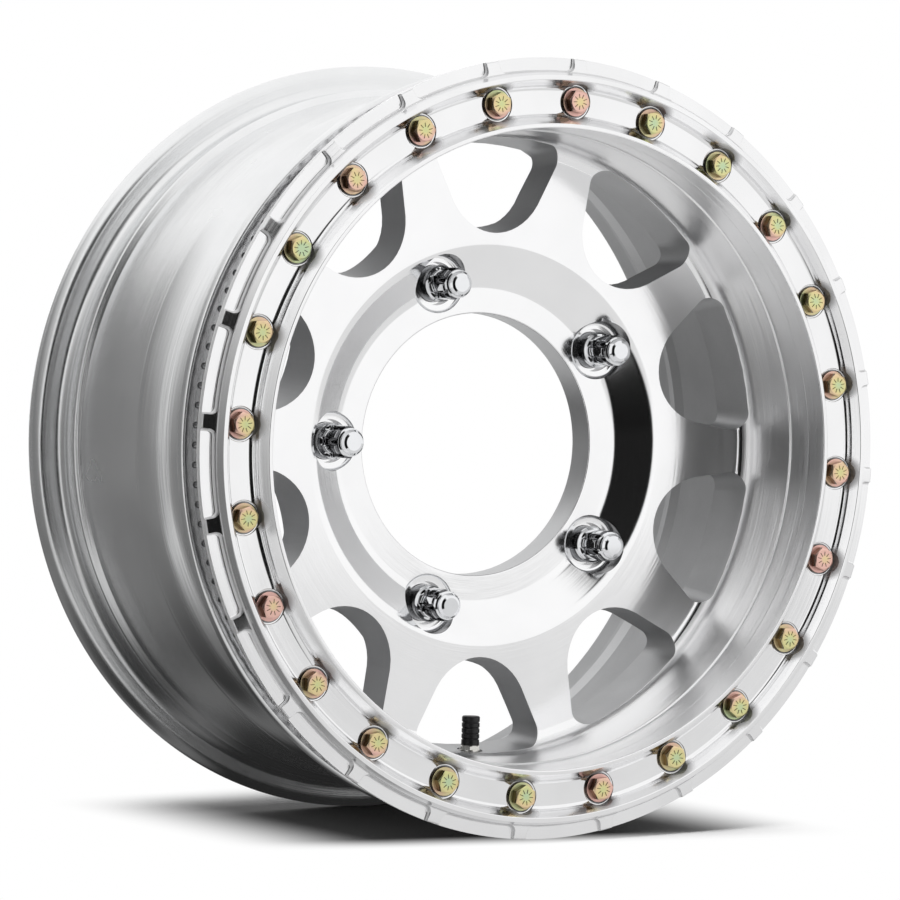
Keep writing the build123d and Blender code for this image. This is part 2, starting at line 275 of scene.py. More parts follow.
def makeWindowCutter():
    side = radians(wheel["windowSide"])
    apex = wheel["windowRoot"] - wheel["windowRootRound"] * (1 / sin(side) - 1)
    reach = -apex * cos(side) + sqrt(wheel["windowTop"] ** 2 - (apex * sin(side)) ** 2)
    corner = Vector((apex + reach * cos(side), 0, reach * sin(side)))
    half = Vector((1, 0, 0)).angle(corner)
    corners = [(apex, 0, wheel["windowRootRound"])]
    for k in range(wheel["windowArcs"] + 1):
        angle = half * (2 * k / wheel["windowArcs"] - 1)
        atEnd = k in (0, wheel["windowArcs"])
        corners.append((wheel["windowTop"] * cos(angle), wheel["windowTop"] * sin(angle),
                        wheel["windowCorner"] if atEnd else 0))
    cutter = pushOutline("windowCutter", corners, wheel["windowFront"], wheel["windowFace"])
    pushOn(wheel["windowBack"] - wheel["windowFace"])
    centre = Vector(((wheel["windowRoot"] + wheel["windowTop"]) / 2, wheel["windowBack"], 0)) * mm
    bpy.ops.transform.resize(value=wheel["windowShrink"], center_override=centre)
    closeMesh()
    angles = evenly(wheel["windowCount"], wheel["windowPhase"])
    return copyTo(cutter, 0, angles, angles)


def makeDimples():
    deselectAll()
    bpy.ops.mesh.primitive_uv_sphere_add(segments=wheel["dimpleSides"], ring_count=wheel["dimpleRings"],
                                         radius=wheel["dimpleSize"] * mm,
                                         location=(0, wheel["dimpleY"] * mm, 0))
    ball = bpy.context.object
    bpy.ops.object.transform_apply(location=True, rotation=True, scale=True)
    return copyTo(ball, wheel["dimpleRadius"], wheel["dimples"], wheel["dimples"])


def makeWheel():
    body = turnOutline("wheelBody", wheel["section"], wheel["steps"], closed=True)
    combine(body, makeWindowCutter())
    softenEdges(body, wheel["windowEdge"], wheel["windowReach"], wheel["windowDepth"])
    softenEdges(body, wheel["backEdge"], wheel["windowReach"], wheel["backDepth"])
    lug = turnOutline("lugCutter", wheel["lugPocket"], wheel["lugSteps"])
    combine(body, copyTo(lug, wheel["lugRadius"], wheel["lugs"], wheel["lugs"]))
    softenEdges(body, wheel["lugEdge"], wheel["lugReach"], wheel["lugDepth"])
    combine(body, makeDimples())
    return body


wheelBody = makeWheel()
print("wheel turned and cut")


# Clamp ring: bolt channel, spot faces and the pockets between its outer ribs

ring = {
    "steps": 240,
    "section": [
        (191.6, -115.8, 0.7), (194.2, -115.8, 0.6), (198.3, -110.0, 0.6), (199.05, -105.0, 4.0),
        (216.55, -105.0, 3.0), (217.0, -109.2, 0.5), (220.3, -114.0, 0.6), (223.15, -114.0, 0.5),
        (225.05, -109.2, 1.4), (233.9, -107.0, 0.9),
        (233.9, -94.5, 9.0), (219.0, -94.5, 0.4), (219.0, -98.7, 0.2), (191.6, -98.7, 0.4),
    ],
    "boltCount": 24, "boltPhase": 9.85, "boltRadius": 208.3,
    "spotFace": [
        (0, -119.0, 0), (10.5, -119.0, 0), (10.5, -104.2, 0.4), (9.6, -104.2, 0), (9.4, -103.7, 0),
        (8.95, -103.7, 0), (8.75, -104.2, 0), (4.2, -104.2, 0), (4.2, -94.0, 0), (0, -94.0, 0),
    ],
    "pocketRoot": 225.4, "pocketOut": 242.0, "ribHalf": 4.2, "pocketCorner": 4.5, "pocketArcs": 5,
    "pocketFloor": -105.0, "pocketFront": -119.0, "pocketFillet": 1.6, "filletSteps": 4,
    "pocketOpen": 238.0,
    "edge": 0.35, "edgeReach": (224, 250), "edgeDepth": (-130, -100),
    "spotEdge": 0.175, "spotReach": (197, 219.5), "spotDepth": (-130, -104.3), "spotSteps": 48,
}
boltAngles = evenly(ring["boltCount"], ring["boltPhase"])


def ribSide(radius, side):
    lean, half = pi / ring["boltCount"], ring["ribHalf"]
    along = sqrt(radius ** 2 - half ** 2)
    return along * cos(lean) + half * sin(lean), side * (along * sin(lean) - half * cos(lean))


def makePocketCutter():
    rootX, rootZ = ribSide(ring["pocketRoot"], 1)
    half = Vector((1, 0, 0)).angle(Vector((rootX, 0, rootZ)))
    corners = [(*ribSide(ring["pocketOut"], 1), 0)]
    for k in range(ring["pocketArcs"] + 1):
        angle = half * (1 - 2 * k / ring["pocketArcs"])
        atEnd = k in (0, ring["pocketArcs"])
        corners.append((ring["pocketRoot"] * cos(angle), ring["pocketRoot"] * sin(angle),
                        ring["pocketCorner"] if atEnd else 0))
    corners.append((*ribSide(ring["pocketOut"], -1), 0))
    cutter = pushOutline("pocketCutter", corners, ring["pocketFloor"], ring["pocketFront"])
    floorY = ring["pocketFloor"] * mm
    pick(cutter, "EDGE", lambda e: all(abs(v.co.y - floorY) < hand["touch"] for v in e.verts)
         and outFromAxle(middle(e)) < ring["pocketOpen"])
    bpy.ops.mesh.bevel(offset=ring["pocketFillet"] * mm, offset_type="OFFSET", segments=ring["filletSteps"],
                       profile=0.5, affect="EDGES")
    closeMesh()
    between = evenly(ring["boltCount"], ring["boltPhase"] + 180 / ring["boltCount"])
    return copyTo(cutter, 0, between, between)


def makeRing():
    body = turnOutline("clampRing", ring["section"], ring["steps"], closed=True)
    combine(body, makePocketCutter())
    softenEdges(body, ring["edge"], ring["edgeReach"], ring["edgeDepth"])
    drill = turnOutline("spotFaceCutter", ring["spotFace"], ring["spotSteps"])
    combine(body, copyTo(drill, ring["boltRadius"], boltAngles, boltAngles))
    softenEdges(body, ring["spotEdge"], ring["spotReach"], ring["spotDepth"])
    return body


clampRing = makeRing()
print("ring turned, pocketed and drilled")


# Ring bolts and washers, each head left at its own turn

bolt = {
    "corner": 7.332, "front": -111.0, "seat": -105.8, "headTurn": -22.0, "headPhase": 9.85,
    "crown": [
        (0, -111.0, 0), (5.8, -111.0, 0.25), (7.7, -109.9, 0), (7.7, -106.5, 0), (6.3, -105.8, 0),
        (0, -105.8, 0),
    ],
    "shank": [(0, -107.0, 0), (3.97, -107.0, 0), (3.97, -75.2, 0), (2.9, -74.05, 0), (0, -74.05, 0)],
    "crownSteps": 60, "shankSteps": 24, "washerSteps": 48,
    "hexEdge": 0.22, "hexReach": (0, 20), "hexDepth": (-110.0, -106.8), "cleanUp": 0.01,
    "lineCount": 9, "lineRadius": 3.5, "lineSize": (2.5, 0.3, 0.42), "lineRise": 0.1,
    "washer": [(4.35, -105.8, 0.25), (8.75, -105.8, 0.4), (8.75, -104.2, 0.3), (4.35, -104.2, 0.25)],
}


def makeBolts():
    deselectAll()
    height = bolt["seat"] - bolt["front"]
    bpy.ops.mesh.primitive_cylinder_add(vertices=6, radius=bolt["corner"] * mm, depth=height * mm,
                                        location=(0, (bolt["front"] + height / 2) * mm, 0),
                                        rotation=(pi / 2, 0, 0))
    head = bpy.context.object
    head.name = "ringBolts"
    bpy.ops.object.transform_apply(location=True, rotation=True, scale=True)
    softenEdges(head, bolt["hexEdge"], bolt["hexReach"], bolt["hexDepth"])
    combine(head, turnOutline("crown", bolt["crown"], bolt["crownSteps"]), "INTERSECT")
    combine(head, turnOutline("shank", bolt["shank"], bolt["shankSteps"]), "UNION")
    deselectAll()
    bpy.ops.mesh.primitive_cube_add(size=mm, location=(0, bolt["front"] * mm, 0))
    line = bpy.context.object
    line.scale = bolt["lineSize"]
    bpy.ops.object.transform_apply(location=True, rotation=True, scale=True)
    spread = evenly(bolt["lineCount"], 0)
    combine(head, copyTo(line, bolt["lineRadius"], spread, spread), "UNION")
    openMesh(head)
    bpy.ops.mesh.select_all(action="SELECT")
    bpy.ops.mesh.dissolve_degenerate(threshold=bolt["cleanUp"] * mm)
    closeMesh()
    turns = [bolt["headPhase"] + bolt["headTurn"] * k for k in range(ring["boltCount"])]
    return copyTo(head, ring["boltRadius"], boltAngles, turns)


ringBolts = makeBolts()
washer = turnOutline("ringWashers", bolt["washer"], bolt["washerSteps"], closed=True)
ringWashers = copyTo(washer, ring["boltRadius"], boltAngles, boltAngles)
print("bolts and washers set")


# Lug nuts: closed tip, collar, fluted body and base

lugNut = {
    "section": [
        (0, -50.48, 0), (4.9, -50.48, 0.3), (6.4, -49.9, 0.5), (7.8, -48.5, 0.6), (7.8, -47.5, 0.2),
        (7.35, -47.2, 0.2), (7.35, -46.9, 0.2), (8.7, -46.4, 0.5), (8.7, -43.6, 0.3),
        (9.8, -42.7, 0.5), (9.8, -26.6, 0.3),
        (10.3, -26.0, 0.3), (11.2, -25.0, 0.7), (11.2, -13.58, 0.3), (7.8, -7.69, 0), (7.2, -7.69, 0),
        (7.2, -46.48, 0), (0, -46.48, 0),
    ],
    "flute": [(0, -44.6, 0), (3.0, -44.6, 2.0), (3.0, -26.2, 1.2), (0, -26.2, 0)],
    "fluteCount": 6, "fluteRadius": 10.6, "fluteEdge": 0.3, "edgeReach": (8.2, 9.9), "edgeDepth": (-45.5, -26),
    "steps": 72, "fluteSteps": 28, "fluteSpan": (-44, -26.4), "fluteWall": 9.3,
}


def makeLugNuts():
    nut = turnOutline("lugNuts", lugNut["section"], lugNut["steps"])
    flute = turnOutline("fluteCutter", lugNut["flute"], lugNut["fluteSteps"])
    spread = evenly(lugNut["fluteCount"], 0)
    combine(nut, copyTo(flute, lugNut["fluteRadius"], spread, spread))
    softenEdges(nut, lugNut["fluteEdge"], lugNut["edgeReach"], lugNut["edgeDepth"])
    return copyTo(nut, wheel["lugRadius"], wheel["lugs"], wheel["lugs"])


lugNuts = makeLugNuts()
print("lug nuts fluted")


# Tyre valve: threaded stem, nut, ribbed cap and the core's spring

valve = {
    "y": -24.5, "angle": 267.72,
    "hole": [
        (0, 176.0, 0), (7.8, 176.0, 0), (7.8, 188.3, 0), (5.75, 188.3, 0), (5.75, 199.6, 0),
        (10.2, 199.6, 0), (10.2, 206.0, 0), (0, 206.0, 0),
    ],
    "cap": [
        (0, 166.3, 0), (4.8, 166.3, 0.4), (5.5, 167.0, 0.4), (5.5, 184.3, 0.1), (5.15, 184.3, 0.1),
        (5.15, 182.3, 0), (3.93, 182.3, 0.2), (3.93, 167.5, 0), (0, 167.5, 0),
    ],
    "capGrooves": (170.2, 173.6, 177.0, 180.4), "capGrooveHalf": 0.55, "capGrooveDepth": 0.5,
    "capRadius": 5.5, "grooveShape": ((-1, 0), (-0.45, 1), (0.45, 1), (1, 0)), "grooveRound": 0.15,
    "steps": 48, "capSteps": 72, "nutSteps": 60, "stemSteps": 40,
    "nutCorner": 6.35, "nutTop": 184.5, "nutBase": 186.9, "nutTurn": 30,
    "nutCrown": [(5.05, 184.5, 0.2), (5.5, 184.5, 0.2), (6.6, 185.1, 0), (6.6, 186.9, 0), (5.05, 186.9, 0)],
    "washer": [(5.05, 186.9, 0.1), (6.4, 186.9, 0.3), (6.4, 188.3, 0.1), (5.05, 188.3, 0.1)],
    "stemTip": 168.4, "stemStep": 182.7, "stemFoot": 202.6, "stemEnd": 205.6,
    "tipRadius": 3.85, "stemRadius": 5.0, "footRadius": 8.5, "coreBore": 2.7, "stemBore": 1.8,
    "coreEnd": 176.0,
    "threadPitch": 0.794, "threadDepth": 0.42, "threadStart": 0.4, "crestAt": 0.25, "rootAt": 0.75,
    "springRadius": 1.3, "springWire": 0.2, "springStart": 169.35, "springEnd": 173.55, "springTurns": 6,
    "springSides": 8, "springSteps": 20,
}


def turnOnValve(name, corners, steps, closed=False):
    piece = drawOutline(name, corners, lambda r, d: Vector((d, valve["y"], r)) * mm, closed)
    bpy.ops.mesh.spin(steps=steps, angle=2 * pi, center=(0, valve["y"] * mm, 0), axis=(1, 0, 0))
    closeMesh()
    return piece


def swingToValve(piece):
    choose(piece)
    piece.rotation_euler[1] = -radians(valve["angle"])
    bpy.ops.object.transform_apply(location=True, rotation=True, scale=True)
    return piece


def makeCap():
    beforeGrooves, afterGrooves = valve["cap"][:3], valve["cap"][3:]
    grooves = []
    for middleAt in valve["capGrooves"]:
        for shift, depth in valve["grooveShape"]:
            grooves.append((valve["capRadius"] - depth * valve["capGrooveDepth"],
                            middleAt + shift * valve["capGrooveHalf"], valve["grooveRound"]))
    return swingToValve(turnOnValve("valveCap", beforeGrooves + grooves + afterGrooves, valve["capSteps"]))


def makeValveNut():
    deselectAll()
    height = valve["nutBase"] - valve["nutTop"]
    bpy.ops.mesh.primitive_cylinder_add(vertices=6, radius=valve["nutCorner"] * mm, depth=height * mm,
                                        location=Vector((valve["nutTop"] + height / 2, valve["y"], 0)) * mm,
                                        rotation=(0, pi / 2, 0))
    nut = bpy.context.object
    nut.name = "valveNut"
    bpy.ops.object.transform_apply(location=False, rotation=True, scale=True)
    nut.rotation_euler[0] = radians(valve["nutTurn"])  # about its own axis, now that it lies along X
    bpy.ops.object.transform_apply(location=True, rotation=True, scale=True)
    combine(nut, turnOnValve("nutCrown", valve["nutCrown"], valve["nutSteps"], closed=True), "INTERSECT")
    return swingToValve(nut)


def makeStem():
    tip, deep = valve["tipRadius"], valve["tipRadius"] - valve["threadDepth"]
    corners = [(valve["coreBore"], valve["stemTip"], 0.2), (deep, valve["stemTip"], 0)]
    at, pitch = valve["stemTip"] + valve["threadStart"], valve["threadPitch"]
    while at < valve["stemStep"] - pitch:
        corners += [(tip, at + valve["crestAt"] * pitch, 0), (deep, at + valve["rootAt"] * pitch, 0)]
        at += pitch
    corners += [
        (deep, valve["stemStep"], 0), (valve["stemRadius"], valve["stemStep"], 0.3),
        (valve["stemRadius"], valve["stemFoot"], 0), (valve["footRadius"], valve["stemFoot"], 0.3),
        (valve["footRadius"], valve["stemEnd"], 0.8), (valve["stemBore"], valve["stemEnd"], 0.3),
        (valve["stemBore"], valve["coreEnd"], 0), (valve["coreBore"], valve["coreEnd"], 0),
    ]
    return swingToValve(turnOnValve("valveStem", corners, valve["stemSteps"], closed=True))


def makeSpring():
    deselectAll()
    bpy.ops.mesh.primitive_circle_add(vertices=valve["springSides"], radius=valve["springWire"] * mm,
                                      location=(valve["springRadius"] * mm, 0, 0), rotation=(pi / 2, 0, 0))
    coil = bpy.context.object
    coil.name = coil.data.name = "coreSpring"
    bpy.ops.object.transform_apply(location=True, rotation=True, scale=True)
    length = (valve["springEnd"] - valve["springStart"]) * mm
    wind = coil.modifiers.new("wind", "SCREW")
    wind.axis = "Z"
    wind.iterations = valve["springTurns"]
    wind.screw_offset = length / valve["springTurns"]
    wind.steps = wind.render_steps = valve["springSteps"]
    wind.use_merge_vertices = True
    bpy.ops.object.modifier_apply(modifier=wind.name)
    openMesh(coil)
    pick(coil, "EDGE", lambda e: len(e.link_faces) == 1)
    bpy.ops.mesh.fill()  # close both cut ends of the wire
    closeMesh()
    coil.rotation_euler[1] = pi / 2  # the winding axis goes from +Z to +X
    coil.location = Vector((valve["springStart"], valve["y"], 0)) * mm
    bpy.ops.object.transform_apply(location=True, rotation=True, scale=True)
    return swingToValve(coil)


combine(wheelBody, swingToValve(turnOnValve("valveHoleCutter", valve["hole"], valve["steps"])))
valveCap = makeCap()
valveNut = makeValveNut()
valveStem = makeStem()
valveWasher = swingToValve(turnOnValve("valveWasher", valve["washer"], valve["steps"], closed=True))
coreSpring = makeSpring()
print("valve made")


# Finishes

class Wire:
    # a socket that adds its Math nodes when it is used in sums

    def __init__(self, tree, socket):
        self.tree = tree
        self.socket = socket

    def node(self, kind, settings, sockets, output=0):
        made = self.tree.nodes.new(kind)
        for name, value in settings.items():
            if name == "stops":
                self.fillRamp(made.color_ramp, value)
            else:
                setattr(made, name, value)
        for name, value in sockets.items():
            if isinstance(value, Wire):
                self.tree.links.new(value.socket, made.inputs[name])
            else:
                made.inputs[name].default_value = value
        return Wire(self.tree, made.outputs[output]) if made.outputs else None

    def fillRamp(self, ramp, stops):
        for k, (position, colour) in enumerate(stops):
            if k == 0 or k == len(stops) - 1:
                element = ramp.elements[0 if k == 0 else -1]  # a new ramp has its two ends
            else:
                element = ramp.elements.new(position)
            element.position = position
            element.color = (*colour, 1)

    def out(self, name):
        return Wire(self.tree, self.socket.node.outputs[name])

    def sum(self, operation, first, second):
        return self.node("ShaderNodeMath", {"operation": operation}, {0: first, 1: second})

    def __add__(self, other):
        return self.sum("ADD", self, other)

    def __radd__(self, other):
        return self.sum("ADD", other, self)

    def __sub__(self, other):
        return self.sum("SUBTRACT", self, other)

    def __rsub__(self, other):
        return self.sum("SUBTRACT", other, self)

    def __mul__(self, other):
        return self.sum("MULTIPLY", self, other)

    def __rmul__(self, other):
        return self.sum("MULTIPLY", other, self)

    def __truediv__(self, other):
        return self.sum("DIVIDE", self, other)

    def __pow__(self, other):
        return self.sum("POWER", self, other)

    def ramp(self, *stops):
        return self.node("ShaderNodeValToRGB", {"stops": stops}, {"Fac": self})

    def fade(self, low, high):
        return self.node("ShaderNodeMapRange", {"interpolation_type": "SMOOTHSTEP"},
                         {"Value": self, "From Min": low, "From Max": high})

    def noise(self, scale, detail=3, roughness=0.55):
        return self.node("ShaderNodeTexNoise", {}, {"Vector": self, "Scale": scale, "Detail": detail,
                                                    "Roughness": roughness})

    def mixColour(self, first, second):
        return self.node("ShaderNodeMix", {"data_type": "RGBA"}, {0: self, 6: first, 7: second}, 2)

    def bump(self, strength, distance):
        return self.node("ShaderNodeBump", {}, {"Strength": strength, "Distance": distance * mm,
                                                "Height": self})


def newFinish(name):
    finish = bpy.data.materials.new(name)
    finish.use_nodes = True
    finish.node_tree.nodes.clear()
    place = finish.node_tree.nodes.new("ShaderNodeTexCoord")
    return finish, Wire(finish.node_tree, place.outputs["Object"])


def closeFinish(place, **sockets):
    named = {name.replace("_", " "): value for name, value in sockets.items()}
    shader = place.node("ShaderNodeBsdfPrincipled", {}, named)
    place.node("ShaderNodeOutputMaterial", {}, {"Surface": shader})


# how far round the marks run, their noise, and how marks, smears, grain and stains share in a tone
texture = {"lap": 3, "markDetail": 2, "markRough": 0.6, "smear": 22, "markShare": 0.25, "tone": (0.3, 0.7),
           "grain": 1100, "stain": 35, "grainShare": 0.4, "grainRough": 0.1, "grainBump": (0.12, 0.05),
           "hazeColour": (0.3, 0.3, 0.305), "chromeHaze": 160, "chromeRough": 0.03, "chromeSpread": 0.04,
           "plateGrain": 1400, "plateStain": 220, "plateRough": 0.2, "plateBump": (0.08, 0.03),
           "darkRough": 0.3, "darkBump": (0.15, 0.05)}


def turnedSurface(place, fineness, lean):
    # fine lines that follow the cutter round the axle, as a tone and as a normal that leans across them
    x = place.node("ShaderNodeSeparateXYZ", {}, {"Vector": place})
    y, z = x.out("Y"), x.out("Z")
    radius = (x * x + z * z) ** 0.5
    lap = place.node("ShaderNodeCombineXYZ", {}, {"X": x / radius * texture["lap"],
                                                  "Y": z / radius * texture["lap"], "Z": radius * fineness})
    marks = place.node("ShaderNodeTexNoise", {"noise_dimensions": "4D"},
                       {"Vector": lap, "W": y * fineness, "Scale": 1, "Detail": texture["markDetail"],
                        "Roughness": texture["markRough"]})
    around = place.node("ShaderNodeCombineXYZ", {}, {"X": 0 - z / radius, "Z": x / radius})
    face = place.node("ShaderNodeNewGeometry", {}, {}, "Normal")
    across = place.node("ShaderNodeVectorMath", {"operation": "CROSS_PRODUCT"}, {0: face, 1: around})
    tipped = place.node("ShaderNodeVectorMath", {"operation": "SCALE"},
                        {0: across, "Scale": (marks - 0.5) * lean})
    leaning = place.node("ShaderNodeVectorMath", {"operation": "ADD"}, {0: face, 1: tipped})
    return marks, place.node("ShaderNodeVectorMath", {"operation": "NORMALIZE"}, {0: leaning})


metal = {
    "turned": {"dark": (0.925, 0.925, 0.93), "light": (0.965, 0.965, 0.97), "rough": 0.12, "spread": 0.03,
               "fineness": 8000, "lean": 0.12},
    "wall": {"dark": (0.94, 0.94, 0.945), "light": (0.98, 0.98, 0.985), "rough": 0.34, "spread": 0.05,
             "fineness": 6000, "lean": 0.8},
    "barrel": {"dark": (0.84, 0.845, 0.85), "light": (0.90, 0.905, 0.91), "rough": 0.26, "spread": 0.06,
               "fineness": 3000, "lean": 0.4},
    "ring": {"dark": (0.88, 0.88, 0.885), "light": (0.93, 0.93, 0.935), "rough": 0.12, "spread": 0.05,
             "fineness": 8000, "lean": 0.3},
    "channel": {"dark": (0.92, 0.92, 0.925), "light": (0.96, 0.96, 0.965), "rough": 0.13, "spread": 0.05,
                "fineness": 8000, "lean": 0.2,
                "hazeAndShadeReach": (10 * mm, 15 * mm), "haze": 0.45, "hazeShade": 0.62},  # rougher beside each bolt, and painted darker there as shade
}


def awayFromBolt(place):
    # how far a point is from the axis of the nearest bolt
    x = place.node("ShaderNodeSeparateXYZ", {}, {"Vector": place})
    z = x.out("Z")
    radius = (x * x + z * z) ** 0.5
    step, circle = 2 * pi / ring["boltCount"], ring["boltRadius"] * mm
    angle = x.sum("FLOORED_MODULO", x.sum("ARCTAN2", z, x) + (step / 2 - radians(ring["boltPhase"])), step)
    inLine = x.sum("COSINE", angle - step / 2, 0)
    return (radius * radius + circle ** 2 - radius * inLine * (2 * circle)) ** 0.5


def turnedMetal(name, look):
    finish, place = newFinish(name)
    marks, leaning = turnedSurface(place, look["fineness"], look["lean"])
    smears = place.noise(texture["smear"])
    tone = (marks * texture["markShare"] + smears * (1 - texture["markShare"])).fade(*texture["tone"])
    colour = tone.mixColour((*look["dark"], 1), (*look["light"], 1))
    rough = look["rough"] + (smears - 0.5) * look["spread"]
    if "haze" in look:
        # near each bolt the roughness rises and the colour is mixed towards grey, a painted shade
        near = 1 - awayFromBolt(place).fade(*look["hazeAndShadeReach"])
        colour = (near * look["hazeShade"]).mixColour(colour, (*texture["hazeColour"], 1))
        rough = rough + near * look["haze"]
    closeFinish(place, Base_Color=colour, Metallic=1, Roughness=rough, Normal=leaning)
    return finish


def cutMetal(name, dark, light, metallic, rough):
    # milled and cast faces: an even grey with a fine grain
    finish, place = newFinish(name)
    grain = place.noise(texture["grain"], 2)
    stain = place.noise(texture["stain"])
    tone = (grain * texture["grainShare"] + stain * (1 - texture["grainShare"])).fade(*texture["tone"])
    closeFinish(place, Base_Color=tone.mixColour((*dark, 1), (*light, 1)), Metallic=metallic,
                Roughness=rough + (grain - 0.5) * texture["grainRough"],
                Normal=grain.bump(*texture["grainBump"]))
    return finish


turnedFinish = turnedMetal("turnedAluminium", metal["turned"])
barrelFinish = turnedMetal("barrelAluminium", metal["barrel"])
ringFinish = turnedMetal("ringAluminium", metal["ring"])
wallFinish = turnedMetal("wallAluminium", metal["wall"])
channelFinish = turnedMetal("channelAluminium", metal["channel"])
# window walls: rough milled aluminium whose darker grey is partly painted shade
windowMilledShadeFinish = cutMetal("windowAluminium", (0.53, 0.533, 0.54), (0.59, 0.593, 0.60), 0.85, 0.5)
# a mid grey: on the inner ridge a painted highlight, on the hub bore a painted shade
ridgeHighlightBoreShadeFinish = cutMetal("ridgeAluminium", (0.56, 0.563, 0.57), (0.62, 0.623, 0.63), 0.9, 0.34)
# inside of the barrel: rough milled aluminium whose darker grey is partly painted shade
insideMilledShadeFinish = cutMetal("insideAluminium", (0.46, 0.463, 0.47), (0.52, 0.523, 0.53), 0.85, 0.5)
rimFinish = cutMetal("rimAluminium", (0.82, 0.82, 0.825), (0.92, 0.92, 0.925), 0.7, 0.5)
# ring pocket walls: rough milled aluminium whose darker grey is partly painted shade
ribMilledShadeFinish = cutMetal("ribAluminium", (0.66, 0.66, 0.665), (0.74, 0.74, 0.745), 0.9, 0.34)
# dark grey for recesses: painted shade in the bead dimples and washer grooves, and partly in the milled lug
# pockets
recessShadeFinish = cutMetal("pocketAluminium", (0.30, 0.30, 0.305), (0.38, 0.38, 0.385), 1, 0.24)


plating = {
    "face": {"green": (0.58, 0.72, 0.46), "lime": (0.74, 0.74, 0.36), "gold": (0.86, 0.70, 0.38),
             "pink": (0.88, 0.56, 0.48), "rough": 0.34},
    "washer": {"green": (0.56, 0.70, 0.44), "lime": (0.62, 0.68, 0.38), "gold": (0.78, 0.64, 0.38),
               "pink": (0.84, 0.52, 0.46), "rough": 0.34},
    # a darker copy of the plating, painted shade on the hex flats and washer sides
    "shadedFlats": {"green": (0.12, 0.12, 0.085), "lime": (0.17, 0.145, 0.085), "gold": (0.23, 0.17, 0.09),
              "pink": (0.22, 0.15, 0.11), "rough": 0.14},
    "patch": 34, "grain": 900, "rimFrom": 0.5, "rimTo": 6,
    "rimShare": 0.34, "patchShare": 1.7, "grainShare": 0.25,
    "roughSpread": 0.15, "bump": (0.06, 0.03), "start": 0.28,
    "stops": {"green": 0.10, "lime": 0.34, "gold": 0.55, "pink": 0.80},
}


def zincFinish(name, look):
    # the colour drifts from bolt to bolt, and outwards from the middle of each head
    finish, place = newFinish(name)
    away = awayFromBolt(place)
    patches = place.noise(plating["patch"], 1)
    grain = place.noise(plating["grain"], 2)
    towardsRim = away.fade(plating["rimFrom"] * mm, plating["rimTo"] * mm)
    drift = towardsRim * plating["rimShare"] + (patches - 0.5) * plating["patchShare"]
    drift = drift + (grain - 0.5) * plating["grainShare"] + plating["start"]
    colour = drift.ramp(*[(at, look[shade]) for shade, at in plating["stops"].items()])
    closeFinish(place, Base_Color=colour, Metallic=1, Normal=grain.bump(*plating["bump"]),
                Roughness=look["rough"] + (grain - 0.5) * plating["roughSpread"])
    return finish


def chromeFinish(name, dark, light):
    finish, place = newFinish(name)
    haze = place.noise(texture["chromeHaze"])
    closeFinish(place, Base_Color=haze.mixColour(dark, light), Metallic=1,
                Roughness=texture["chromeRough"] + haze * texture["chromeSpread"])
    return finish


def plainMetal(name, dark, light, rough):
    finish, place = newFinish(name)
    grain = place.noise(texture["plateGrain"], 2)
    stain = place.noise(texture["plateStain"])
    closeFinish(place, Base_Color=stain.mixColour((*dark, 1), (*light, 1)), Metallic=1,
                Roughness=rough + (grain - 0.5) * texture["plateRough"],
                Normal=grain.bump(*texture["plateBump"]))
    return finish


def darkFinish(name, dark, light, rough, grainSize):
    finish, place = newFinish(name)
    grain = place.noise(grainSize, 3)
    closeFinish(place, Base_Color=grain.mixColour((*dark, 1), (*light, 1)),
                Roughness=rough + (grain - 0.5) * texture["darkRough"], Normal=grain.bump(*texture["darkBump"]))
    return finish


zincFace = zincFinish("yellowZincFace", plating["face"])
zincShadedFlats = zincFinish("yellowZincFlats", plating["shadedFlats"])
zincWasher = zincFinish("yellowZincWasher", plating["washer"])
chrome = chromeFinish("brightChrome", (0.80, 0.81, 0.83, 1), (0.88, 0.89, 0.90, 1))
# the same chrome made dark inside the flutes, a painted shade
fluteShadeChrome = chromeFinish("fluteChrome", (0.14, 0.142, 0.15, 1), (0.22, 0.222, 0.23, 1))
nickel = plainMetal("nickelPlate", (0.66, 0.65, 0.61), (0.78, 0.77, 0.73), 0.16)
brass = plainMetal("turnedBrass", (0.62, 0.47, 0.20), (0.74, 0.58, 0.28), 0.24)
rubber = darkFinish("blackRubber", (0.012, 0.012, 0.012), (0.03, 0.03, 0.03), 0.72, 900)
plastic = darkFinish("blackPlastic", (0.012, 0.012, 0.013), (0.03, 0.03, 0.032), 0.38, 1200)
print("finishes mixed")


# Finishes laid on, pieces smoothed and set riding

def paint(piece, finish, test=None):
    if not test:
        piece.data.materials.clear()  # the cuts leave an empty slot
    piece.data.materials.append(finish)
    if test:
        openMesh(piece)
        pick(piece, "FACE", lambda f: test(f.calc_center_median() / mm, f.normal))
        piece.active_material_index = len(piece.data.materials) - 1
        bpy.ops.object.material_slot_assign()
        bpy.ops.object.mode_set(mode="OBJECT")


def outward(point, normal):
    return (point.x * normal.x + point.z * normal.z) / outFromAxle(point)


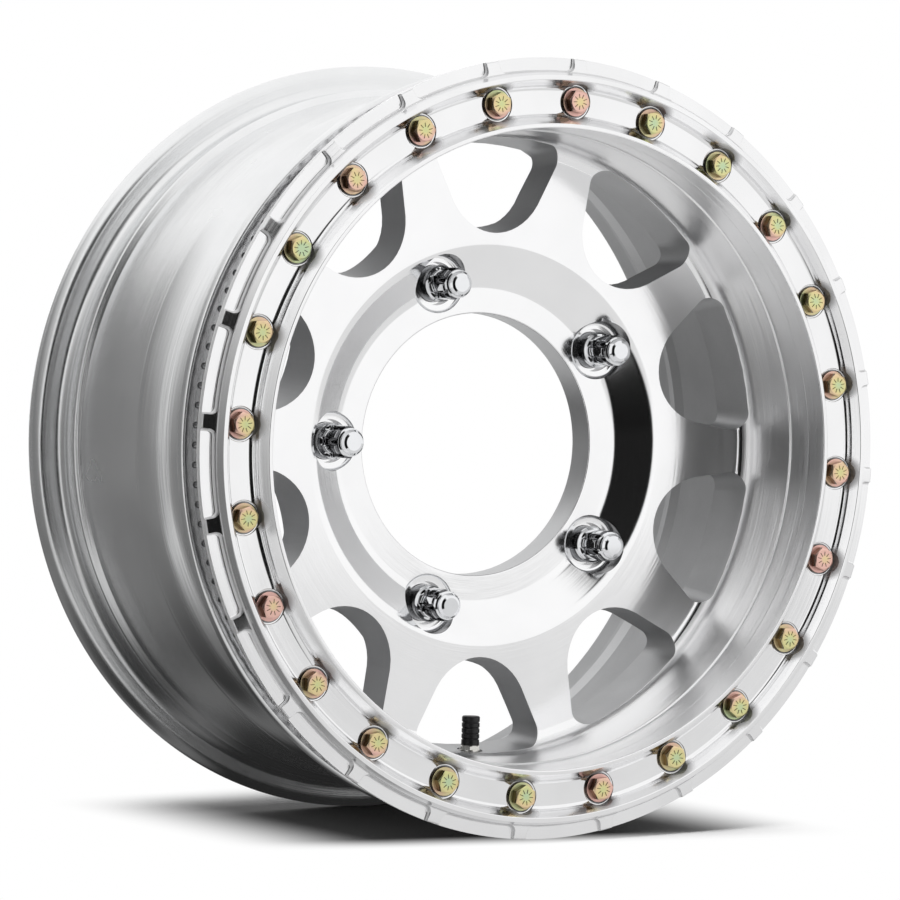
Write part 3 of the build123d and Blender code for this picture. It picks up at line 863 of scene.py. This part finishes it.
# distance from the axle, place along it, and how far the face looks along the axle and away from it
anyLook, far = (-2, 2), 300
zones = {
    "inside": {"reach": (136.5, far), "depth": (-9, far), "outward": (-2, 0.3)},
    "barrel": {"reach": (199, far), "depth": (-76, far), "outward": (0.1, 2)},
    "flange": {"reach": (199, far), "depth": (107, far)},
    "dishWall": {"reach": (182, 192.5), "depth": (-far, -33.5), "along": (-0.9, 2), "outward": (-2, -0.3)},
    "window": {"reach": (122.5, 189.2), "depth": (-45, 0), "along": (-0.35, 0.35)},
    "lugPocket": {"reach": (81, 122), "depth": (-34, -1), "along": (-0.3, 0.3)},
    "ridge": {"reach": (206.5, 209.2), "depth": (69.8, 79), "outward": (-2, -0.5)},
    "bore": {"reach": (0, 80.9), "depth": (-far, far), "along": (-0.3, 0.3)},
    "dimples": {"reach": (219, 223.8), "depth": (-77, -72)},
    "channel": {"reach": (195, 220.5), "depth": (-113.6, -104.3), "along": (-0.8, 0.8)},
    "pocketWall": {"reach": (224.6, far), "depth": (-110, -104.9), "along": (-0.9, 0.9)},
    "rimEdge": {"reach": (232, far), "depth": (-108.5, far), "outward": (0.5, 2)},
    "spotGroove": {"reach": (197, 219.5), "depth": (-104.15, -103.5)},
    "dimpleHalf": 0.0096, "flatLook": (-0.6, 0.6),
}


def inZone(name):
    zone = zones[name]
    return lambda point, normal: (
        within(outFromAxle(point), zone["reach"]) and within(point.y, zone["depth"])
        and within(normal.y, zone.get("along", anyLook))
        and within(outward(point, normal), zone.get("outward", anyLook)))


def inDimple(point, normal):
    step = 2 * pi / len(wheel["dimples"])
    turn = atan2(point.z, point.x) % step - step / 2
    return inZone("dimples")(point, normal) and abs(turn) < zones["dimpleHalf"]


def inFlute(point, normal):
    turns = [radians(angle) for angle in wheel["lugs"]]
    axes = [Vector((cos(turn), 0, sin(turn))) * wheel["lugRadius"] for turn in turns]
    nearest = min(outFromAxle(point - axis) for axis in axes)
    return within(point.y, lugNut["fluteSpan"]) and nearest < lugNut["fluteWall"]


# hex flats and washer sides get the plating's painted shade; the raised lines on each head take the same dark
# paint
def onShadedFlats(point, normal):
    return normal.y > zones["flatLook"][0] or point.y < bolt["front"] - bolt["lineRise"]


def onShadedWasherSide(point, normal):
    return within(normal.y, zones["flatLook"])


paint(wheelBody, turnedFinish)
# the inside, window and lug pocket greys are partly painted shade, the bore grey is painted shade, and the
# ridge band is a painted highlight
for name, finish in (("inside", insideMilledShadeFinish), ("barrel", barrelFinish), ("flange", barrelFinish),
                     ("dishWall", wallFinish), ("window", windowMilledShadeFinish), ("lugPocket", recessShadeFinish),
                     ("ridge", ridgeHighlightBoreShadeFinish), ("bore", ridgeHighlightBoreShadeFinish)):
    paint(wheelBody, finish, inZone(name))
# the bead dimples are painted dark as shade
paint(wheelBody, recessShadeFinish, inDimple)
paint(clampRing, ringFinish)
# the ring's pocket walls are painted a darker grey as part shade, and the groove round each washer dark as
# shade
for name, finish in (("dishWall", wallFinish), ("channel", channelFinish), ("pocketWall", ribMilledShadeFinish),
                     ("rimEdge", rimFinish), ("spotGroove", recessShadeFinish)):
    paint(clampRing, finish, inZone(name))
paint(ringBolts, zincFace)
paint(ringBolts, zincShadedFlats, onShadedFlats)
paint(ringWashers, zincWasher)
paint(ringWashers, zincShadedFlats, onShadedWasherSide)
paint(lugNuts, chrome)
paint(lugNuts, fluteShadeChrome, inFlute)
for piece in (valveNut, valveWasher, valveStem, coreSpring):
    paint(piece, nickel)
paint(valveCap, plastic)
for piece in (wheelBody, clampRing, ringBolts, ringWashers, lugNuts, valveCap, valveNut, valveWasher,
              valveStem, coreSpring):
    smoothOff(piece)

stand(wheelBody, "wheel", "aluminium", "wheel")
stand(clampRing, "wheel", "ring_aluminium", "beadlock_ring")
stand(ringBolts, "wheel", "yellow_zinc", "ring_bolts")
stand(ringWashers, "wheel", "yellow_zinc", "ring_washers")
stand(lugNuts, "wheel", "chrome", "lug_nuts")
stand(valveStem, "wheel", "nickel", "valve_stem")
stand(valveNut, "wheel", "nickel", "valve_nut")
stand(valveWasher, "wheel", "nickel", "valve_washer")
stand(valveCap, "cap", "black_plastic", "valve_cap")
stand(coreSpring, "wheel", "nickel", "core_spring")
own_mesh(coreSpring)
for node, finish in (("valve_grommet", rubber), ("core_body", brass), ("core_pin", brass),
                     ("core_seal", rubber), ("cap_seal", rubber)):
    solid = frame["nodes"][node]
    solid.data.materials.clear()
    solid.data.materials.append(finish)
print("pieces stand on their bodies")


# Stage: pale floor, white room, one softbox, cards that the metal mirrors, and the camera

stage = {
    "floorZ": -235.6, "floorSize": 9000.0, "paper": (0.97, 0.97, 0.97), "paperShade": (0.96, 0.96, 0.96),
    "paperGrain": 60,
    "footCentre": 0.01, "footSide": (0.09, 0.19), "footFront": (0.065, 0.125), "footSkew": 0.32,
    "footBack": (0.17, 0.26),
    "roomGlow": 0.18, "softboxSize": 0.6, "softboxPlace": (0.0, -0.25, 1.6), "softboxPower": 28,
    "lens": 196.64, "azimuth": -29.905, "elevation": 2.292, "distance": 2.9405,
    "aim": (0, -0.105, 0), "across": -0.05876, "rise": -0.00048,
    # cards that only mirrors see, in metres and degrees
    "cardFoot": -0.235,
    "frontCard": {"radius": 2.4, "strip": 0.01, "from": -52, "to": 14, "steps": 40, "top": 2.2, "black": 0.011,
                  "soft": (1.6, 2.1), "edge": (-1.5, 7)},
    "sideCard": {"x": -0.65, "back": 3.2, "front": -0.5, "top": 1.8, "grey": 0.20, "soft": (-0.12, 0.82),
                 "slope": 0.4, "end": (1.1, 2.8), "near": (0.08, 0.42)},
    "floorCard": {"size": 4.8, "z": -0.23555, "light": 0.75, "dark": 0.17, "deep": 0.02, "black": 0.006,
                  "fromBearing": (-53, -51), "toBearing": (-1.5, 7), "edge": (0.58, 0.60),
                  "underSide": (0.10, 0.17), "underFront": (0.06, 0.12), "underBack": (0.2, 0.4),
                  "leftSide": (-0.02, -0.20), "leftFront": (-0.20, 0.0), "deepReach": (0.27, 0.56)},
}


def seenDirectly(place):
    rays = place.node("ShaderNodeLightPath", {}, {}, "Is Camera Ray")
    seen = rays + rays.out("Is Glossy Ray") + rays.out("Is Transmission Ray")
    return place.node("ShaderNodeClamp", {}, {"Value": seen})


def makeFloor():
    deselectAll()
    bpy.ops.mesh.primitive_plane_add(size=stage["floorSize"] * mm, location=(0, 0, stage["floorZ"] * mm))
    floor = bpy.context.object
    floor.name = "paleFloor"
    finish, place = newFinish("palePaper")
    x = place.node("ShaderNodeSeparateXYZ", {}, {"Vector": place})
    y = x.out("Y")
    foot = 1 - x.sum("ABSOLUTE", x - stage["footCentre"], 0).fade(*stage["footSide"])
    foot = foot * (1 - (0 - y - x * stage["footSkew"]).fade(*stage["footFront"]))
    foot = foot * (1 - y.fade(*stage["footBack"]))
    grain = place.noise(stage["paperGrain"])
    tone = grain.mixColour((*stage["paperShade"], 1), (*stage["paper"], 1))
    paper = place.node("ShaderNodeBsdfDiffuse", {}, {"Color": tone})
    glow = place.node("ShaderNodeEmission", {}, {"Color": (1, 1, 1, 1), "Strength": 1})
    shown = (1 - foot) * seenDirectly(place)  # paper and shadow show round the foot, white further out
    mixed = place.node("ShaderNodeMixShader", {}, {0: shown, 1: paper, 2: glow})
    place.node("ShaderNodeOutputMaterial", {}, {"Surface": mixed})
    floor.data.materials.append(finish)


def makeWorld():
    world = bpy.data.worlds.new("whiteRoom")
    bpy.context.scene.world = world
    world.use_nodes = True
    world.node_tree.nodes.clear()
    place = Wire(world.node_tree, world.node_tree.nodes.new("ShaderNodeTexCoord").outputs["Generated"])
    strength = stage["roomGlow"] + seenDirectly(place) * (1 - stage["roomGlow"])
    glow = place.node("ShaderNodeBackground", {}, {"Color": (1, 1, 1, 1), "Strength": strength})
    place.node("ShaderNodeOutputWorld", {}, {"Surface": glow})


def finishCard(piece, place, brightness):
    # a card shines by itself and only mirrors see it
    grey = brightness.ramp((0, (0, 0, 0)), (1, (1, 1, 1)))
    glow = place.node("ShaderNodeEmission", {}, {"Color": grey, "Strength": 1})
    place.node("ShaderNodeOutputMaterial", {}, {"Surface": glow})
    for ray in ("camera", "diffuse", "shadow", "transmission", "volume_scatter"):
        setattr(piece, "visible_" + ray, False)


def newCard(name, size, place, turn=(0, 0, 0)):
    deselectAll()
    bpy.ops.mesh.primitive_plane_add(size=1, location=place, rotation=turn)
    piece = bpy.context.object
    piece.name = name
    piece.scale = (*size, 1)
    bpy.ops.object.transform_apply(location=True, rotation=True, scale=True)
    finish, start = newFinish(name)
    piece.data.materials.append(finish)
    x = start.node("ShaderNodeSeparateXYZ", {}, {"Vector": start})
    return piece, start, x, x.out("Y"), x.out("Z")


def bearing(x, y):
    # degrees round the wheel, nought straight in front of it and growing to the right
    return x.sum("ARCTAN2", x, 0 - y) * (180 / pi)


def makeFrontCard():
    card, foot = stage["frontCard"], stage["cardFoot"]
    piece, start, x, y, z = newCard("frontCard", (card["strip"], card["top"] - foot),
                                    (0, -card["radius"], (card["top"] + foot) / 2), (pi / 2, 0, 0))
    openMesh(piece)
    pick(piece, "EDGE", lambda e: middle(e).x > card["strip"] / mm / 4)  # one upright edge, spun round
    bpy.ops.mesh.select_all(action="INVERT")
    bpy.ops.mesh.delete(type="EDGE")
    bpy.ops.mesh.select_all(action="SELECT")
    bpy.ops.mesh.spin(steps=card["steps"], angle=radians(card["to"] - card["from"]), center=(0, 0, 0),
                      axis=(0, 0, -1))
    bpy.ops.object.mode_set(mode="OBJECT")
    piece.rotation_euler[2] = radians(card["from"])
    bpy.ops.object.transform_apply(location=True, rotation=True, scale=True)
    dark = (1 - z.fade(*card["soft"])) * (1 - bearing(x, y).fade(*card["edge"]))
    finishCard(piece, start, card["black"] + (1 - dark) * (1 - card["black"]))


def makeSideCard():
    card, foot = stage["sideCard"], stage["cardFoot"]
    piece, start, x, y, z = newCard("sideCard", (card["top"] - foot, card["back"] - card["front"]),
                                    (card["x"], (card["front"] + card["back"]) / 2, (card["top"] + foot) / 2),
                                    (0, pi / 2, 0))
    dark = (1 - y.fade(*card["end"])) * (1 - (0 - y).fade(*card["near"]))
    dark = (1 - (z - y * card["slope"]).fade(*card["soft"])) * dark
    finishCard(piece, start, card["grey"] + (1 - dark) * (1 - card["grey"]))


def makeFloorCard():
    card = stage["floorCard"]
    piece, start, x, y, z = newCard("floorCard", (card["size"], card["size"]), (0, 0, card["z"]))
    away = start.node("ShaderNodeVectorMath", {"operation": "LENGTH"}, {0: start}, "Value")
    turn = bearing(x, y)
    inFront = turn.fade(*card["fromBearing"]) * (1 - turn.fade(*card["toBearing"])) * away.fade(*card["edge"])
    # what mirrors see of the floor: a painted shadow under and left of the wheel, and a painted dark room in
    # front
    under = (1 - x.sum("ABSOLUTE", x, 0).fade(*card["underSide"])) * (1 - (0 - y).fade(*card["underFront"]))
    under = under * (1 - y.fade(*card["underBack"]))
    atLeft = x.fade(*card["leftSide"]) * y.fade(*card["leftFront"])
    shade = 1 - (1 - under) * (1 - atLeft)
    dark = card["deep"] + away.fade(*card["deepReach"]) * (card["dark"] - card["deep"])
    light = card["light"] - shade * (card["light"] - dark)
    finishCard(piece, start, light - inFront * (light - card["black"]))


def makeSoftbox():
    deselectAll()
    bpy.ops.object.light_add(type="AREA", location=stage["softboxPlace"])
    bpy.context.object.visible_glossy = False  # the room is what the metal mirrors
    lamp = bpy.context.object.data
    lamp.size = stage["softboxSize"]
    lamp.energy = stage["softboxPower"]


def makeCamera():
    turn, tilt = radians(stage["azimuth"]), radians(stage["elevation"])
    back = Vector((sin(turn) * cos(tilt), -cos(turn) * cos(tilt), sin(tilt)))
    right = Vector((cos(turn), sin(turn), 0))
    up = back.cross(right)
    place = Vector(stage["aim"]) + back * stage["distance"] + right * stage["across"] + up * stage["rise"]
    deselectAll()
    bpy.ops.object.camera_add(location=place, rotation=(-back).to_track_quat("-Z", "Y").to_euler())
    camera = bpy.context.object
    camera.data.lens = stage["lens"]
    camera.data.sensor_width = 36
    bpy.context.scene.camera = camera


makeFloor()
makeWorld()
makeFrontCard()
makeSideCard()
makeFloorCard()
makeSoftbox()
makeCamera()
bpy.context.scene.view_settings.view_transform = "Standard"
bpy.context.scene.cycles.caustics_reflective = False  # no light thrown back into the shadow at the foot
print("stage set")
